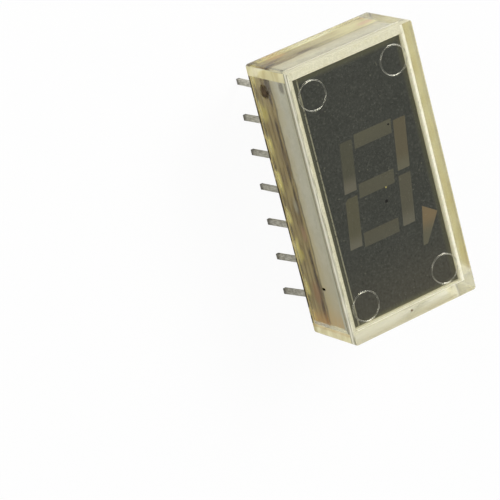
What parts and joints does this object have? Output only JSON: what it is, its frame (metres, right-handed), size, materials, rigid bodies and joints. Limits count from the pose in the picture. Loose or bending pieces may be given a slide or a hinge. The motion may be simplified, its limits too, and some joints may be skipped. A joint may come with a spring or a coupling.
{
  "type": "seven segment display",
  "caption": "Clear moulded single-digit display with slanted segments and a wedge-shaped point, standing on two rows of straight leads.",
  "frame": {"origin": "middle of the back face, where the potting closes the case", "axes": "+Z out of the lit face, +Y to the digit's top, +X to the reader's right; the leads point along -Z"},
  "size_m": [0.01, 0.0192, 0.0093],
  "materials": {
    "case": "clear moulded, slightly yellowed",
    "face_mask": "satin grey",
    "light_guide": "moulded, pale grey",
    "diffuser": "diffusing resin, unlit",
    "diffuser_warm": "diffusing resin, yellowed",
    "light_chip": "sawn crystal",
    "bond_wire": "drawn gold-coloured wire",
    "board": "laminate",
    "track": "copper foil",
    "solder": "tarnished solder",
    "potting": "clear potting resin, yellowed",
    "lead": "tinned strip",
    "key_paint": "paint"
  },
  "bodies": {
    "root": {"case": "case", "face_mask": "face_mask", "light_guide": "light_guide", "segment_a": "diffuser", "segment_b": "diffuser_warm", "segment_c": "diffuser", "segment_d": "diffuser", "segment_e": "diffuser", "segment_f": "diffuser", "segment_g": "diffuser", "decimal_point": "diffuser_warm", "led_chip_a": "light_chip", "led_chip_b": "light_chip", "led_chip_c": "light_chip", "led_chip_d": "light_chip", "led_chip_e": "light_chip", "led_chip_f": "light_chip", "led_chip_g": "light_chip", "led_chip_point": "light_chip", "bond_wires": "bond_wire", "circuit_board": "board", "board_tracks": "track", "solder_joints": "solder", "back_potting": "potting", "lead_1": "lead", "lead_2": "lead", "lead_3": "lead", "lead_4": "lead", "lead_5": "lead", "lead_6": "lead", "lead_7": "lead", "lead_8": "lead", "lead_9": "lead", "lead_10": "lead", "lead_11": "lead", "lead_12": "lead", "lead_13": "lead", "lead_14": "lead", "key_mark": "key_paint"}
  },
  "joints": []
}
